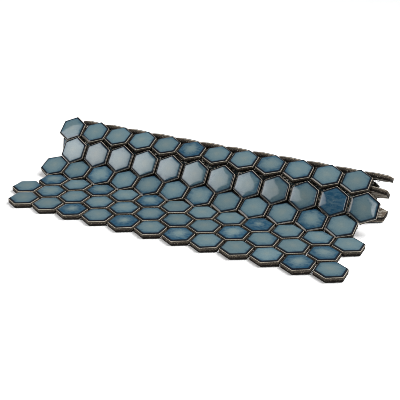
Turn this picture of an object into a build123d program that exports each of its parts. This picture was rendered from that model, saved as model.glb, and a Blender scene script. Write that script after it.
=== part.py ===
from build123d import *

import os
from math import asin, atan2, cos, degrees, radians, sin, sqrt

# A sheet of glazed hexagon mosaic tiles on a mesh backing, its rear rows rolled up.
# Millimetres and degrees. +X runs along the rows, +Y from the flat front edge to the roll, +Z up.

# One tile: an upright unglazed wall under a glazed cushion edge in two slopes
tile_across_flats = 23.0
tile_corner_cut = 0.8
tile_wall_height = 3.8
cushion_edge_rise = 0.8
cushion_edge_run = 0.9
cushion_crown_rise = 0.4
cushion_crown_run = 5.0

# The sheet
joint_width = 2.0
tiles_per_row = 12
mesh_thickness = 0.4
mesh_end_inset = 14.0
mesh_edge_reach = 6.0

# Slope of each row from front to back: the flat, the bank and over the ridge, then the rows inside the roll
bank_tilts = (0, 0, 0, 22, 51, 21, -28)
face_down_tilt = -180
inner_tilts = (-279, -396)

# Hexagon layout: points towards front and back, rows nested half a pitch apart
tile_thickness = tile_wall_height + cushion_edge_rise + cushion_crown_rise
tile_pitch = tile_across_flats + joint_width
row_pitch = tile_pitch * sqrt(3) / 2
point_reach = tile_across_flats / sqrt(3)
blunt_reach = point_reach - tile_corner_cut / 2
stagger = tile_pitch / 4
row_length = tiles_per_row * tile_pitch - joint_width
mesh_length = row_length + 2 * stagger - 2 * mesh_end_inset


def along(tilt, distance):
    """Step in Y and Z of a distance up a slope."""
    return Vector(0, distance * cos(radians(tilt)), distance * sin(radians(tilt)))


def square_to(tilt, distance):
    """Step in Y and Z of a distance off a slope, towards its glazed side."""
    return along(tilt + 90, distance)


def lay_rows(tilts):
    """Middle of the tile backs of each row, from the front row at Y zero.

    Where the sheet turns up, a row's near points rest on the plane of the row before it.
    Where it turns down, both rows swing about the middle of the joint.
    """
    centres = [square_to(tilts[0], mesh_thickness)]
    for tilt, next_tilt in zip(tilts, tilts[1:]):
        hinge = row_pitch - point_reach if next_tilt > tilt else row_pitch / 2
        centres.append(centres[-1] + along(tilt, hinge) + along(next_tilt, row_pitch - hinge))
    return centres


def drop_tilt():
    """Slope of the row behind the ridge, steep enough to lay the next row face down on the floor."""
    last_joint = lay_rows(bank_tilts)[-1] + along(bank_tilts[-1], row_pitch / 2)
    return degrees(asin((last_joint.Z - tile_thickness) / row_pitch)) - 180


def point_section():
    """Height and reach of a tile's front and back points, from its back to its crown."""
    edge_height = tile_wall_height + cushion_edge_rise
    edge_reach = point_reach - cushion_edge_run / cos(radians(30))
    crown_reach = edge_reach - cushion_crown_run / cos(radians(30))
    return (
        (0, blunt_reach),
        (tile_wall_height, blunt_reach),
        (edge_height, min(edge_reach, blunt_reach)),
        (tile_thickness, min(crown_reach, blunt_reach)),
    )


def y_middle(centres, tilts):
    """Middle of the sheet from its front points to the back of the roll."""
    corners = [
        centre + along(tilt, side * reach) + square_to(tilt, height)
        for centre, tilt in zip(centres, tilts)
        for height, reach in point_section()
        for side in (-1, 1)
    ]
    return (min(corner.Y for corner in corners) + max(corner.Y for corner in corners)) / 2


row_tilts = bank_tilts + (drop_tilt(), face_down_tilt) + inner_tilts
laid_centres = lay_rows(row_tilts)
to_middle = Vector(0, -y_middle(laid_centres, row_tilts), 0)
row_centres = [centre + to_middle for centre in laid_centres]

# The tile that every row repeats, its upright corners blunted last
with BuildPart() as tile:
    with BuildSketch():
        RegularPolygon(tile_across_flats / 2, 6, major_radius=False, rotation=30)
    extrude(amount=tile_wall_height)
    for rise, run in ((cushion_edge_rise, cushion_edge_run), (cushion_crown_rise, cushion_crown_run)):
        top = tile.faces().sort_by(Axis.Z)[-1]
        extrude(top, amount=rise, taper=degrees(atan2(run, rise)))
    with BuildSketch() as blunt_outline:
        RegularPolygon(tile_across_flats / 2, 6, major_radius=False, rotation=30)
        chamfer(blunt_outline.vertices(), tile_corner_cut)
    extrude(amount=tile_thickness, mode=Mode.INTERSECT)


def build_row(number, centre, tilt):
    """One row of tiles on its slope, moved sideways to nest with the rows next to it."""
    side = stagger if number % 2 else -stagger
    slope = Plane(
        origin=centre + Vector(side, 0, 0),
        x_dir=(1, 0, 0),
        z_dir=square_to(tilt, 1),
    )
    with BuildPart(slope) as row:
        with GridLocations(tile_pitch, tile_pitch, tiles_per_row, 1):
            add(tile.part)
    row.part.label = f"tile_row_{number:02d}"
    return row.part


def mesh_line():
    """Line that the glued side of the mesh follows, under the tile backs from front to back."""
    points = [row_centres[0] - along(row_tilts[0], mesh_edge_reach)]
    for index, (tilt, next_tilt) in enumerate(zip(row_tilts, row_tilts[1:])):
        if next_tilt > tilt:
            points.append(row_centres[index] + along(tilt, point_reach))
            points.append(row_centres[index + 1])
        elif next_tilt < tilt:
            points.append(row_centres[index] + along(tilt, row_pitch / 2))
    points.append(row_centres[-1] + along(row_tilts[-1], mesh_edge_reach))
    return points


def beside(points, distance):
    """The line moved sideways, away from the tiles, with mitred corners."""
    slopes = [degrees(atan2(end.Z - start.Z, end.Y - start.Y)) for start, end in zip(points, points[1:])]
    moved = []
    for point, tilt, next_tilt in zip(points, slopes[:1] + slopes, slopes + slopes[-1:]):
        half_turn = ((next_tilt - tilt + 180) % 360 - 180) / 2
        moved.append(point - square_to(tilt + half_turn, distance / cos(radians(half_turn))))
    return moved


# Mesh backing: one thin band that carries every tile
with BuildPart() as mesh_backing:
    with BuildSketch(Plane.YZ) as band:
        glued_side = mesh_line()
        free_side = beside(glued_side, mesh_thickness)
        with BuildLine():
            Polyline([(point.Y, point.Z) for point in glued_side + free_side[::-1]], close=True)
        make_face()
    extrude(amount=mesh_length / 2, both=True)
mesh_backing.part.label = "mesh_backing"

os.makedirs("parts", exist_ok=True)
for number, (centre, tilt) in enumerate(zip(row_centres, row_tilts), start=1):
    tile_row = build_row(number, centre, tilt)
    export_step(tile_row, f"parts/{tile_row.label}.step")
export_step(mesh_backing.part, "parts/mesh_backing.step")
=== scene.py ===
from collections import namedtuple
from math import atan, cos, pi, radians, sin, sqrt, tan

import bpy
import numpy as np
from mathutils import Matrix, Quaternion, Vector


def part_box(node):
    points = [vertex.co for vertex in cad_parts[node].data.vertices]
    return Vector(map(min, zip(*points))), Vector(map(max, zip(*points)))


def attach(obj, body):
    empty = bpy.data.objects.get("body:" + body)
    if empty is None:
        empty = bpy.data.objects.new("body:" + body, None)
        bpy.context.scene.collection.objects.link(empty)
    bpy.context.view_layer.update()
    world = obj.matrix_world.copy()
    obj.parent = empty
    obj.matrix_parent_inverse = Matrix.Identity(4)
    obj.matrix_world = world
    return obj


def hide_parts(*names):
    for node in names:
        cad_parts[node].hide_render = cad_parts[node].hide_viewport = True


# A sheet of glazed hexagon mosaic tiles on a mesh backing, its rear rows rolled up.
# Lengths are in metres unless a name ends in _mm, and colours are linear red, green and blue.

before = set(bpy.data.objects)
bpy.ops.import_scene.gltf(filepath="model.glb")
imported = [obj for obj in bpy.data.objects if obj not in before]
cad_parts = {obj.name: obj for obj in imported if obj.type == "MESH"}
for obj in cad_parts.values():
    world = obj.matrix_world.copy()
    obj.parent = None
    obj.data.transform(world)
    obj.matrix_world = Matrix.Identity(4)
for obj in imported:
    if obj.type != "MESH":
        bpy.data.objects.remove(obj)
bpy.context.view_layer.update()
mm = 0.001
dice = np.random.default_rng(seed=11)

# The sheet, as the frame lays it
tiles_per_row = 12
joint_width = 2.0 * mm
row_names = sorted(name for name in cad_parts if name.startswith("tile_row_"))
first_low, first_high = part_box(row_names[0])
tile_pitch = (first_high.x - first_low.x + joint_width) / tiles_per_row
row_pitch = tile_pitch * sqrt(3) / 2
tile_apothem = (tile_pitch - joint_width) / 2
point_reach = tile_apothem * 2 / sqrt(3)

# One tile's section: foot, upright wall, rolled edge and a crown that steepens towards the edge
foot_size = 0.3 * mm
roll_width = 2.2 * mm
roll_height = 0.7 * mm
roll_steps = 6
bare_roll_steps = 1
crown_slope = radians(7.0)
crown_place = 0.8
crown_power = 2.2
crown_rings = 10
last_crown_inset = 0.9 * tile_apothem

# One tile's outline: corners that grow rounder towards the middle, up to a share of the apothem
corner_radius = 1.0 * mm
corner_growth = 0.8
roundest_corner = 0.9
corner_steps = 4
side_steps = 4
sharp_edge = radians(40)

# Order of a row's materials
glaze_index = 0
wall_index = 1
back_index = 2

# How far the tiles stray from a perfect sheet, and the row whose glaze lies on the floor
tile_turn = radians(0.5)
tile_shift = 0.12 * mm
glaze_wave = 0.012 * mm
wave_lengths_mm = (9, 16)
floor_row = 9
floor_row_stray = 0.2

# Tiles that the kiln left bluer than the rest, by row and place in the row, and the most that others have
blue_tiles = {
    (1, 3): 0.75, (1, 5): 0.75, (1, 7): 0.6, (1, 11): 0.55,
    (2, 9): 0.55, (2, 12): 0.6,
    (3, 1): 0.6, (3, 3): 0.5, (3, 5): 0.5, (3, 9): 1.05,
    (4, 3): 0.4, (4, 11): 0.4, (5, 11): 1.35, (6, 6): 0.6, (6, 9): 0.4,
}
other_tiles_blue = 0.25

# Tiles that lean out of their row: turns about the row in degrees, steeper where positive
leaning_tiles = {
    (6, 1): 18, (6, 2): 6, (6, 5): -4, (6, 6): -5, (6, 7): -5, (6, 8): -3, (6, 9): -3,
    (6, 10): -1, (6, 11): 1, (6, 12): 3,
}

# The end tile of the steepest row, which has swung out to the right, in degrees
swung_tiles = {(5, 12): 6}

# The net: threads along the sheet lie on the tile side, threads across it on the free side
net_edge_reach = 6.0 * mm
net_pitch = 2.3 * mm
net_step = 1.8 * mm
net_bend_blend = 1.5 * mm
net_fine_step = 0.25 * mm
along_thread_depth = 0.14 * mm
across_thread_depth = 0.29 * mm
across_thread_points = 40
thread_width = 0.5 * mm
thread_thickness = 0.22 * mm
thread_fray = 2.5 * mm
thread_wander = 0.12 * mm
along_wander_waves = 4
across_wander_waves = 5

# Glaze: colours by their share of the way from the edge to the middle, and what moves them about
glaze_colours = (
    (0.00, (0.050, 0.102, 0.130)),
    (0.20, (0.076, 0.131, 0.156)),
    (0.42, (0.092, 0.147, 0.167)),
    (0.70, (0.104, 0.156, 0.169)),
    (0.95, (0.124, 0.168, 0.171)),
)
glaze_blue = (0.009, 0.046, 0.086)
# Black of the painted shade and painted dark reflection on each tile's rolled edge
painted_shade_ring_black = (0.004, 0.006, 0.010)
streak_squeeze = (0.45, 1.0, 1.0)
cloud_push_mm = 5.0
streak_push_mm = 4.5
grain_push_mm = 1.5
tile_push_mm = 0.6
blue_reach = 0.75
tone_spread = 0.07
glaze_ior = 1.52

# Bare clay, painted near black low on the wall as painted shade and with a painted contact shadow at its
# foot, the glue on its back, and the yarn of the net from its painted-shade dark to its off-white spots
pale_clay = (0.56, 0.49, 0.39)
# Speckled clay painted near black: painted shade for the joints
shaded_clay_colours = (
    (0.34, (0.003, 0.003, 0.002)),
    (0.50, (0.010, 0.008, 0.006)),
    (0.60, (0.024, 0.020, 0.015)),
)
taupe_clay = (0.066, 0.055, 0.044)
clay_speck = (0.36, 0.31, 0.25)
# Black of the painted contact shadow at each tile's foot
foot_shadow_black = (0.008, 0.007, 0.006)
ragged_push_mm = 1.6
glued_clay = (0.15, 0.12, 0.09)
glued_clay_share = 0.6
dry_glue = (0.34, 0.32, 0.28)
# The dark end of the yarn is painted shade in the joints
yarn_colours = (
    (0.50, (0.02, 0.018, 0.014)),
    (0.63, (0.80, 0.75, 0.65)),
)
clay_roughness = 0.85
yarn_roughness = 0.6
dull_specular = 0.1

# The studio
floor_reach = 4.0
floor_white = (0.9, 0.9, 0.9)
floor_roughness = 0.9
room_white = (0.97, 0.99, 1.0)
room_bright_below = radians(6)
room_dim_above = radians(16)

Row = namedtuple("Row", "middle up_slope facing thickness")


# Reading the frame

def row_frame(name):
    """A row's middle on its tile backs, the way up its slope, the way its glaze faces, and its thickness."""
    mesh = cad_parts[name].data
    corners = np.array([vertex.co for vertex in mesh.vertices])
    areas = {}
    for face in mesh.polygons:
        way = tuple(np.round(face.normal, 3))
        areas[way] = areas.get(way, 0) + face.area
    # The flat backs add up to the largest area that faces one way
    facing = -Vector(max(areas, key=areas.get))
    up_slope = facing.cross(Vector((1, 0, 0)))
    across = corners @ np.array(facing)
    along = corners @ np.array(up_slope)
    middle_x = (corners[:, 0].min() + corners[:, 0].max()) / 2
    middle = facing * across.min() + up_slope * ((along.min() + along.max()) / 2)
    return Row(Vector((middle_x, middle.y, middle.z)), up_slope, facing, across.max() - across.min())


# Object helpers

def scene_object(name, data):
    """An object with some data, linked to the scene."""
    made = bpy.data.objects.new(name, data)
    bpy.context.scene.collection.objects.link(made)
    return made


def mesh_piece(name, vertices, faces, materials, face_materials=None):
    """A smooth-shaded mesh object with its sharp edges kept sharp."""
    mesh = bpy.data.meshes.new(name)
    mesh.from_pydata(vertices, [], faces)
    for material in materials:
        mesh.materials.append(material)
    if face_materials is not None:
        mesh.polygons.foreach_set("material_index", face_materials)
    mesh.shade_smooth()
    mesh.set_sharp_from_angle(angle=sharp_edge)
    return scene_object(name, mesh)


def point_attribute(piece, name, kind, values):
    """Stores one value for each vertex, for the materials to read."""
    field = "value" if kind == "FLOAT" else "vector"
    stored = piece.data.attributes.new(name, kind, "POINT")
    stored.data.foreach_set(field, np.asarray(values, dtype=np.float32).ravel())


# The tile

def crown_fall(inset):
    """How far the crown lies below the middle of the tile, at a distance in from the edge."""
    outward = 1 - inset / tile_apothem
    steepness = tan(crown_slope) / crown_place**crown_power
    return tile_apothem * steepness * outward ** (crown_power + 1) / (crown_power + 1)


def tile_profile(thickness):
    """Rings of one tile from its back to its crown, as inset and height, and the ring where glaze starts."""
    wall_rings = [(foot_size, 0.0), (0.0, foot_size)]
    roll_rings = []
    for turn in np.linspace(0, pi / 2, roll_steps + 1):
        inset = roll_width * (1 - cos(turn))
        roll_rings.append((inset, thickness - crown_fall(inset) - roll_height * (1 - sin(turn))))
    crown_insets = np.linspace(roll_width, last_crown_inset, crown_rings + 1)[1:]
    crown = [(inset, thickness - crown_fall(inset)) for inset in crown_insets]
    return wall_rings + roll_rings + crown, len(wall_rings) + bare_roll_steps


def corner_arc(apothem, radius, corner):
    """Points of one rounded corner of a hexagon that has points towards front and back."""
    middle = pi / 2 + corner * pi / 3
    hub = np.array([cos(middle), sin(middle)]) * (apothem - radius) / cos(pi / 6)
    turns = middle + np.linspace(-pi / 6, pi / 6, corner_steps + 1)
    return [hub + radius * np.array([cos(turn), sin(turn)]) for turn in turns]


def hexagon_ring(inset):
    """Rounded hexagon, inset from the tile's outline, with points along its corners and its sides."""
    apothem = tile_apothem - inset
    radius = min(corner_radius + corner_growth * inset, roundest_corner * apothem)
    points = []
    for corner in range(6):
        arc = corner_arc(apothem, radius, corner)
        side = corner_arc(apothem, radius, corner + 1)[0] - arc[-1]
        points += arc
        points += [arc[-1] + side * step / side_steps for step in range(1, side_steps)]
    return np.array(points)


def tile_shape(thickness):
    """Vertices, insets, faces and face materials of one tile."""
    rings, glaze_ring = tile_profile(thickness)
    vertices = []
    insets = []
    for inset, height in rings:
        ring = hexagon_ring(inset)
        vertices += [(x, y, height) for x, y in ring]
        insets += [inset] * len(ring)
    count = len(vertices) // len(rings)
    faces = []
    kinds = []
    for level in range(len(rings) - 1):
        low = level * count
        high = low + count
        for index in range(count):
            after = (index + 1) % count
            faces.append((low + index, low + after, high + after, high + index))
            kinds.append(glaze_index if level >= glaze_ring else wall_index)
    # The back and the top are closed by a fan round a middle point
    back_middle = len(vertices)
    top_middle = back_middle + 1
    last = (len(rings) - 1) * count
    vertices += [(0.0, 0.0, 0.0), (0.0, 0.0, thickness)]
    insets += [tile_apothem, tile_apothem]
    for index in range(count):
        after = (index + 1) % count
        faces.append((back_middle, after, index))
        kinds.append(back_index)
        faces.append((top_middle, last + index, last + after))
        kinds.append(glaze_index)
    return np.array(vertices), np.array(insets), faces, kinds


def stray_matrix(number, place):
    """A small turn and shift, as tiles set by hand on a net have, and a larger turn for a few of them."""
    stray = floor_row_stray if number == floor_row else 1.0
    turns = dice.normal(0, tile_turn * stray, 3)
    shift = dice.normal(0, tile_shift, 2)
    turns[0] += radians(leaning_tiles.get((number, place), 0))
    turns[1] += radians(swung_tiles.get((number, place), 0))
    matrix = Matrix.Translation((shift[0], shift[1], 0))
    for turn, axis in zip(turns, "XYZ"):
        matrix = matrix @ Matrix.Rotation(turn, 4, axis)
    return matrix


def waved(vertices, insets):
    """The tile with a slow wave over its glaze."""
    phases = dice.uniform(0, 2 * pi, 2)
    lengths = dice.uniform(*wave_lengths_mm, 2) * mm
    x, y, _ = vertices.T
    wave = np.sin(2 * pi * x / lengths[0] + phases[0]) * np.sin(2 * pi * y / lengths[1] + phases[1])
    moved = vertices.copy()
    moved[:, 2] += np.where(insets > roll_width, glaze_wave * (wave - 1), 0)
    return moved


def build_row(name, number, row, materials):
    """One row of tiles in its place, with what the glaze needs to know of each vertex."""
    base, insets, base_faces, kinds = tile_shape(row.thickness)
    slope = Matrix((Vector((1, 0, 0)), row.up_slope, row.facing)).transposed().to_4x4()
    vertices = []
    faces = []
    places = []
    mixes = []
    for place in range(1, tiles_per_row + 1):
        centre = row.middle + Vector(((place - (tiles_per_row + 1) / 2) * tile_pitch, 0, 0))
        lay = np.array(Matrix.Translation(centre) @ slope @ stray_matrix(number, place))
        shape = waved(base, insets)
        start = len(vertices)
        vertices += (shape @ lay[:3, :3].T + lay[:3, 3]).tolist()
        faces += [tuple(start + corner for corner in face) for face in base_faces]
        sheet_place = np.array([place * tile_pitch, number * row_pitch, 0])
        places += ((base + sheet_place) / mm).tolist()
        tone = dice.normal(0, 1)
        blue = blue_tiles.get((number, place), dice.uniform(0, other_tiles_blue))
        push = dice.uniform(-1, 1)
        mixes += [(tone, blue, push)] * len(base)
    piece = mesh_piece(f"glazed_row_{number:02d}", vertices, faces, materials, kinds * tiles_per_row)
    point_attribute(piece, "sheet_place", "FLOAT_VECTOR", places)
    point_attribute(piece, "edge_inset", "FLOAT", np.tile(insets / mm, tiles_per_row))
    point_attribute(piece, "glaze_mix", "FLOAT_VECTOR", mixes)
    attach(piece, "root")
    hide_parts(name)


# The net

def run_lengths(line):
    """Distance along a line to each of its points."""
    return np.concatenate([[0], np.cumsum(np.linalg.norm(np.diff(line, axis=0), axis=1))])


def points_at(line, places):
    """Points of a line at some distances along it."""
    lengths = run_lengths(line)
    return np.stack([np.interp(places, lengths, line[:, axis]) for axis in (0, 1)], axis=1)


def net_line(rows):
    """Line in Y and Z that the net follows under the tile backs, with its bends eased."""
    points = [rows[0].middle - rows[0].up_slope * net_edge_reach]
    for row, next_row in zip(rows, rows[1:]):
        turn = row.up_slope.cross(next_row.up_slope).x
        if turn > 0:
            points += [row.middle + row.up_slope * point_reach, next_row.middle]
        else:
            points.append(row.middle + row.up_slope * row_pitch / 2)
    points.append(rows[-1].middle + rows[-1].up_slope * net_edge_reach)
    corners = np.array([(point.y, point.z) for point in points])
    line = points_at(corners, np.arange(0, run_lengths(corners)[-1], net_fine_step))
    # A bell-shaped average, cut off at three times its width, eases the bends
    reach = int(3 * net_bend_blend / net_fine_step)
    weights = np.exp(-0.5 * (np.arange(-reach, reach + 1) * net_fine_step / net_bend_blend) ** 2)
    weights /= weights.sum()
    padded = np.pad(line, ((reach, reach), (0, 0)), mode="reflect", reflect_type="odd")
    return np.stack([np.convolve(padded[:, axis], weights, mode="valid") for axis in (0, 1)], axis=1)


def at_steps(line, step):
    """Points and tile-side normals at even steps along a line."""
    length = run_lengths(line)[-1]
    points = points_at(line, np.linspace(0, length, int(round(length / step)) + 1))
    ways = np.gradient(points, axis=0)
    ways /= np.linalg.norm(ways, axis=1, keepdims=True)
    return points, np.stack([-ways[:, 1], ways[:, 0]], axis=1)


def wander(count, waves):
    """A thread's sideways drift at each of its points."""
    return thread_wander * np.sin(np.linspace(0, waves * 2 * pi, count) + dice.uniform(0, 2 * pi))


def flat_thread(path, sideways, outward):
    """Vertices and faces of a thread with a diamond section along a path."""
    half_width = sideways * thread_width / 2
    half_height = outward * thread_thickness / 2
    section = [path - half_width, path - half_height, path + half_width, path + half_height]
    sides = len(section)
    faces = []
    for here in range(0, sides * (len(path) - 1), sides):
        for side in range(sides):
            after = (side + 1) % sides
            faces.append((here + side, here + after, here + sides + after, here + sides + side))
    faces.append(tuple(reversed(range(sides))))
    end = sides * (len(path) - 1)
    faces.append(tuple(range(end, end + sides)))
    return np.stack(section, axis=1).reshape(-1, 3), faces


def net_piece(name, threads, material):
    """One object of many threads."""
    vertices = []
    faces = []
    for thread_vertices, thread_faces in threads:
        start = len(vertices)
        vertices += thread_vertices.tolist()
        faces += [tuple(start + corner for corner in face) for face in thread_faces]
    piece = mesh_piece(name, vertices, faces, [material])
    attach(piece, "root")
    return piece


def threads_along(line, low_x, high_x):
    """Threads that follow the sheet from its front edge into the roll."""
    points, normals = at_steps(line, net_step)
    outward = np.column_stack([np.zeros(len(normals)), normals])
    sideways = np.tile([1.0, 0.0, 0.0], (len(points), 1))
    threads = []
    for x in np.arange(low_x + thread_width, high_x - thread_width, net_pitch):
        drift = wander(len(points), along_wander_waves)
        path = np.column_stack([x + drift, points]) - outward * along_thread_depth
        threads.append(flat_thread(path, sideways, outward))
    return threads


def threads_across(line, low_x, high_x):
    """Straight threads that run with the rows and stick out a little at both ends."""
    threads = []
    for (y, z), normal in zip(*at_steps(line, net_pitch)):
        frays = dice.uniform(0, thread_fray, 2)
        steps = np.linspace(low_x - frays[0], high_x + frays[1], across_thread_points)
        sideways = np.array([0.0, normal[1], -normal[0]])
        outward = np.array([0.0, *normal])
        base = np.column_stack([steps, np.full(len(steps), y), np.full(len(steps), z)])
        drift = wander(len(steps), across_wander_waves)
        path = base + drift[:, None] * sideways - outward * across_thread_depth
        threads.append(flat_thread(path, sideways, outward))
    return threads


def build_net(rows, material):
    """The backing net, in place of the plain band."""
    line = net_line(rows)
    net_low, net_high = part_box("mesh_backing")
    long_net = net_piece("backing_net_along", threads_along(line, net_low.x, net_high.x), material)
    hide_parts("mesh_backing")
    net_piece("backing_net_across", threads_across(line, net_low.x, net_high.x), material)


# Material helpers

def new_material(name):
    """A node material, its node tree and its shader."""
    material = bpy.data.materials.new(name)
    material.use_nodes = True
    return material, material.node_tree, material.node_tree.nodes["Principled BSDF"]


def add_node(tree, kind, inputs, **settings):
    """A node with its settings, and its inputs set to a value or linked to a socket."""
    node = tree.nodes.new(kind)
    for key, value in settings.items():
        setattr(node, key, value)
    for key, value in inputs.items():
        if isinstance(value, bpy.types.NodeSocket):
            tree.links.new(value, node.inputs[key])
        else:
            node.inputs[key].default_value = value
    return node


def attribute(tree, name):
    """The node that reads one of the stored attributes."""
    return add_node(tree, "ShaderNodeAttribute", {}, attribute_name=name)


def split(tree, vector):
    """The three parts of a vector."""
    return add_node(tree, "ShaderNodeSeparateXYZ", {0: vector}).outputs


def noise(tree, vector, scale, detail=2.0, roughness=0.5, distortion=0.0):
    """A noise value from 0 to 1, its scale in cells to one unit of the vector."""
    inputs = {
        "Vector": vector,
        "Scale": scale,
        "Detail": detail,
        "Roughness": roughness,
        "Distortion": distortion,
    }
    return add_node(tree, "ShaderNodeTexNoise", inputs).outputs["Fac"]


def calc(tree, operation, *values):
    """A sum on numbers or sockets."""
    return add_node(tree, "ShaderNodeMath", dict(enumerate(values)), operation=operation).outputs[0]


def swayed(tree, base, value, push):
    """A base value moved up and down by a noise, which leaves it in place where the noise is a half."""
    return calc(tree, "MULTIPLY_ADD", calc(tree, "SUBTRACT", value, 0.5), push, base)


def span(tree, value, start, end, at_start=0.0, at_end=1.0):
    """A number that goes smoothly from one value to another as the input goes from start to end."""
    inputs = {"Value": value, "From Min": start, "From Max": end, "To Min": at_start, "To Max": at_end}
    return add_node(tree, "ShaderNodeMapRange", inputs, interpolation_type="SMOOTHSTEP").outputs[0]


def rgba(colour):
    """A colour with full alpha; a socket stays as it is."""
    return (*colour, 1.0) if isinstance(colour, tuple) else colour


def blend(tree, factor, first, second, mode="MIX"):
    """Two colours mixed by a factor, through the node's colour sockets."""
    inputs = {0: factor, 6: rgba(first), 7: rgba(second)}
    return add_node(tree, "ShaderNodeMix", inputs, data_type="RGBA", blend_type=mode).outputs[2]


def colour_ramp(tree, value, stops):
    """A ramp of colours, each stop a place from 0 to 1 and a colour."""
    node = add_node(tree, "ShaderNodeValToRGB", {"Fac": value})
    ramp = node.color_ramp
    while len(ramp.elements) < len(stops):
        ramp.elements.new(0.5)
    for element, (place, colour) in zip(ramp.elements, stops):
        element.position = place
        element.color = rgba(colour)
    return node.outputs["Color"]


def relief(tree, shader, height, strength, distance):
    """Fine bumps on a material's surface."""
    bump = add_node(tree, "ShaderNodeBump", {"Strength": strength, "Distance": distance, "Height": height})
    tree.links.new(bump.outputs[0], shader.inputs["Normal"])


# Materials

def glaze_material():
    """Reactive glaze: grey-green in the middle, blue from the edges, a black ring of painted shade and
    painted dark reflection over the rolled edge, and a bare arris.
    """
    material, tree, shader = new_material("glaze")
    place = attribute(tree, "sheet_place").outputs["Vector"]
    inset_mm = attribute(tree, "edge_inset").outputs["Fac"]
    tone, blueness, push = split(tree, attribute(tree, "glaze_mix").outputs["Vector"])
    drawn_out = add_node(tree, "ShaderNodeVectorMath", {0: place, 1: streak_squeeze}, operation="MULTIPLY")
    cloud = noise(tree, place, scale=0.14, distortion=0.5)
    streaks = noise(tree, drawn_out.outputs[0], scale=0.55, detail=3.0, roughness=0.55, distortion=0.6)
    grain = noise(tree, place, scale=1.5, detail=3.0, roughness=0.6)
    # Depth of glaze colour, from the edge to the middle, pushed about by the mottling
    depth_mm = swayed(tree, inset_mm, cloud, cloud_push_mm)
    depth_mm = swayed(tree, depth_mm, streaks, streak_push_mm)
    depth_mm = swayed(tree, depth_mm, grain, grain_push_mm)
    depth_mm = calc(tree, "MULTIPLY_ADD", push, tile_push_mm, depth_mm)
    depth = calc(tree, "DIVIDE", depth_mm, tile_apothem / mm)
    colour = colour_ramp(tree, depth, glaze_colours)
    # Blue that runs in from the edges, far in on the bluer tiles, and thins along the streaks
    over = calc(tree, "SUBTRACT", calc(tree, "MULTIPLY", blueness, blue_reach), depth)
    run_in = span(tree, over, start=-0.36, end=0.28)
    thinned = span(tree, streaks, start=0.35, end=0.65, at_start=1.0, at_end=0.72)
    colour = blend(tree, calc(tree, "MULTIPLY", run_in, thinned), colour, glaze_blue)
    # Lighter and darker tiles, each with a fine grain
    tile_tone = calc(tree, "MULTIPLY_ADD", tone, tone_spread, 1.0)
    grain_tone = span(tree, grain, start=0.25, end=0.75, at_start=0.93, at_end=1.07)
    bright = calc(tree, "MULTIPLY", tile_tone, grain_tone)
    grey = add_node(tree, "ShaderNodeCombineColor", {0: bright, 1: bright, 2: bright}).outputs[0]
    colour = blend(tree, 1.0, colour, grey, "MULTIPLY")
    # Painted shade and painted dark reflection: a black ring over the rolled edge; then the bare arris
    ring = span(tree, inset_mm, start=1.2, end=2.2, at_start=0.97, at_end=0.0)
    colour = blend(tree, ring, colour, painted_shade_ring_black)
    bare = span(tree, inset_mm, start=0.12, end=0.30, at_start=1.0, at_end=0.0)
    colour = blend(tree, bare, colour, pale_clay)
    tree.links.new(colour, shader.inputs["Base Color"])
    gloss = span(tree, grain, start=0.2, end=0.8, at_start=0.03, at_end=0.08)
    tree.links.new(gloss, shader.inputs["Roughness"])
    relief(tree, shader, noise(tree, place, scale=0.22), strength=0.6, distance=0.02 * mm)
    shader.inputs["IOR"].default_value = glaze_ior
    return material


def biscuit_material(name, glued):
    """Bare fired clay, speckled: painted shade makes the wall near black low down and taupe higher up, pale
    towards the glaze, with a painted contact shadow at the foot; glue films the backs.
    """
    material, tree, shader = new_material(name)
    place = attribute(tree, "sheet_place").outputs["Vector"]
    height_mm = split(tree, place)["Z"]
    speckle = noise(tree, place, scale=1.3, detail=4.0, roughness=0.7)
    # The speckled clay is painted near black, as painted shade in the joints
    colour = colour_ramp(tree, speckle, shaded_clay_colours)
    # Painted shade: near black low on the wall and taupe higher up; pale specks, a pale band of bare clay
    # under the glaze with its lower edge broken, and a painted contact shadow darkening the foot
    ragged_mm = swayed(tree, height_mm, speckle, ragged_push_mm)
    taupe = span(tree, ragged_mm, start=1.3, end=2.6, at_end=0.8)
    colour = blend(tree, taupe, colour, taupe_clay)
    specks = span(tree, speckle, start=0.56, end=0.68, at_end=0.8)
    colour = blend(tree, specks, colour, clay_speck)
    pale_band = span(tree, ragged_mm, start=3.4, end=3.8, at_end=0.5)
    colour = blend(tree, pale_band, colour, pale_clay)
    # Painted contact shadow: the foot is darkened to black
    foot_shadow = span(tree, height_mm, start=0.7, end=1.7, at_start=0.9, at_end=0.0)
    colour = blend(tree, foot_shadow, colour, foot_shadow_black)
    if glued:
        film = span(tree, noise(tree, place, scale=0.25), start=0.42, end=0.60, at_end=0.7)
        colour = blend(tree, film, blend(tree, glued_clay_share, colour, glued_clay), dry_glue)
    tree.links.new(colour, shader.inputs["Base Color"])
    relief(tree, shader, speckle, strength=0.8, distance=0.1 * mm)
    shader.inputs["Roughness"].default_value = clay_roughness
    shader.inputs["Specular IOR Level"].default_value = dull_specular
    return material


def net_material():
    """Coated glass yarn, off-white in spots and painted dark in patches, as painted shade in the open joints.
    """
    material, tree, shader = new_material("net_yarn")
    place = add_node(tree, "ShaderNodeTexCoord", {}).outputs["Object"]
    # Painted shade: patches where the yarn is painted dark
    shade_patches = noise(tree, place, scale=180.0, detail=3.0, roughness=0.6)
    twist = noise(tree, place, scale=1500.0, detail=1.0)
    tree.links.new(colour_ramp(tree, shade_patches, yarn_colours), shader.inputs["Base Color"])
    relief(tree, shader, twist, strength=0.5, distance=0.05 * mm)
    shader.inputs["Roughness"].default_value = yarn_roughness
    shader.inputs["Specular IOR Level"].default_value = dull_specular
    return material


# Studio

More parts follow.
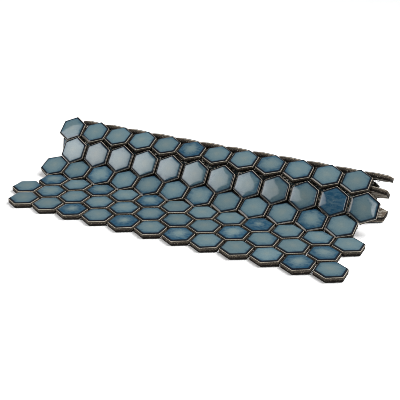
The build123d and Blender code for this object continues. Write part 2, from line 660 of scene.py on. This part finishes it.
def build_floor():
    """A plain pale floor."""
    corners = [(x * floor_reach, y * floor_reach, 0) for x, y in ((-1, -1), (1, -1), (1, 1), (-1, 1))]
    material, _, shader = new_material("floor")
    shader.inputs["Base Color"].default_value = rgba(floor_white)
    shader.inputs["Roughness"].default_value = floor_roughness
    floor = mesh_piece("floor", corners, [(0, 1, 2, 3)], [material])


def from_front(azimuth, elevation, distance):
    """A point round the object: azimuth from the front towards +X, elevation above the floor, in degrees."""
    turn = radians(azimuth)
    rise = radians(elevation)
    return distance * Vector((sin(turn) * cos(rise), -cos(turn) * cos(rise), sin(rise)))


def place_lamp(name, data, azimuth, elevation, distance, roll=0.0):
    """A light that faces the object, rolled by degrees about its axis."""
    lamp = scene_object(name, data)
    lamp.location = from_front(azimuth, elevation, distance)
    facing = (-lamp.location).to_track_quat("-Z", "Y")
    lamp.rotation_euler = (facing @ Quaternion((0, 0, 1), radians(roll))).to_euler()
    return lamp


def softbox(name, azimuth, elevation, width, height, radiance, roll=0.0, distance=1.1):
    """A soft area light, brightest at its middle."""
    data = bpy.data.lights.new(name, "AREA")
    data.shape = "RECTANGLE"
    data.size = width
    data.size_y = height
    data.energy = radiance * pi * width * height
    data.use_nodes = True
    tree = data.node_tree
    inputs = {0: tree.nodes.new("ShaderNodeNewGeometry").outputs["Parametric"], 1: (0.5, 0.5, 0.0)}
    from_middle = add_node(tree, "ShaderNodeVectorMath", inputs, operation="DISTANCE").outputs["Value"]
    strength = span(tree, from_middle, start=0.0, end=0.75, at_start=1.35, at_end=0.4)
    tree.links.new(strength, tree.nodes["Emission"].inputs["Strength"])
    return place_lamp(name, data, azimuth, elevation, distance, roll)


def build_lights():
    """A large key at the front left, a strip at the front, and two lights from behind on the right.

    The glaze mirrors only the first two of them.
    """
    softbox("key_softbox", azimuth=-54.5, elevation=40.2, width=0.784, height=0.705, radiance=4.4, roll=-12.4)
    softbox("fill_softbox", azimuth=25, elevation=50, width=0.16, height=0.4, radiance=4.0)
    near = softbox(
        "side_softbox", azimuth=122, elevation=45, width=0.3, height=0.3, radiance=7.6, distance=0.64
    )
    near.visible_glossy = False
    data = bpy.data.lights.new("side_light", "SUN")
    data.energy = 3.3
    data.angle = radians(45)
    far = place_lamp("side_light", data, azimuth=130, elevation=55, distance=1.5)
    far.visible_glossy = False


def build_room():
    """A room that is bright low down and dim above, and how the picture is developed."""
    world = bpy.data.worlds.new("studio")
    world.use_nodes = True
    tree = world.node_tree
    background = tree.nodes["Background"]
    rise = split(tree, tree.nodes.new("ShaderNodeTexCoord").outputs["Generated"])["Z"]
    low = sin(room_bright_below)
    high = sin(room_dim_above)
    strength = span(tree, rise, start=low, end=high, at_start=1.0, at_end=0.12)
    tree.links.new(strength, background.inputs["Strength"])
    background.inputs["Color"].default_value = rgba(room_white)
    scene = bpy.context.scene
    scene.world = world
    scene.view_settings.view_transform = "Standard"
    scene.cycles.filter_width = 0.8


def build_camera(first_row_y):
    """The camera at the photograph's place, worked out from the first row."""
    heading = radians(-26.62)
    dip = radians(25.08)
    roll = radians(0.04)
    distance = 722.0 * mm
    target_x = 1.6 * mm
    target_behind_first_row = 72.3 * mm
    picture_width = 400
    focal_pixels = 834.0
    target = Vector((target_x, first_row_y + target_behind_first_row, 0))
    forward = Vector((sin(heading) * cos(dip), cos(heading) * cos(dip), -sin(dip)))
    level_right = Vector((cos(heading), -sin(heading), 0))
    level_up = level_right.cross(forward)
    right = level_right * cos(roll) + level_up * sin(roll)
    up = level_up * cos(roll) - level_right * sin(roll)
    data = bpy.data.cameras.new("camera")
    data.angle = 2 * atan(picture_width / 2 / focal_pixels)
    camera = scene_object("camera", data)
    turn = Matrix((right, up, -forward)).transposed().to_4x4()
    camera.matrix_world = Matrix.Translation(target - forward * distance) @ turn
    bpy.context.scene.camera = camera


# Putting it together
rows = [row_frame(name) for name in row_names]
build_camera(rows[0].middle.y)
build_floor()
build_lights()
build_room()
tile_materials = [
    glaze_material(),
    biscuit_material("biscuit", glued=False),
    biscuit_material("biscuit_back", glued=True),
]
for number, (name, row) in enumerate(zip(row_names, rows), start=1):
    build_row(name, number, row, tile_materials)
build_net(rows, net_material())

bpy.context.view_layer.update()
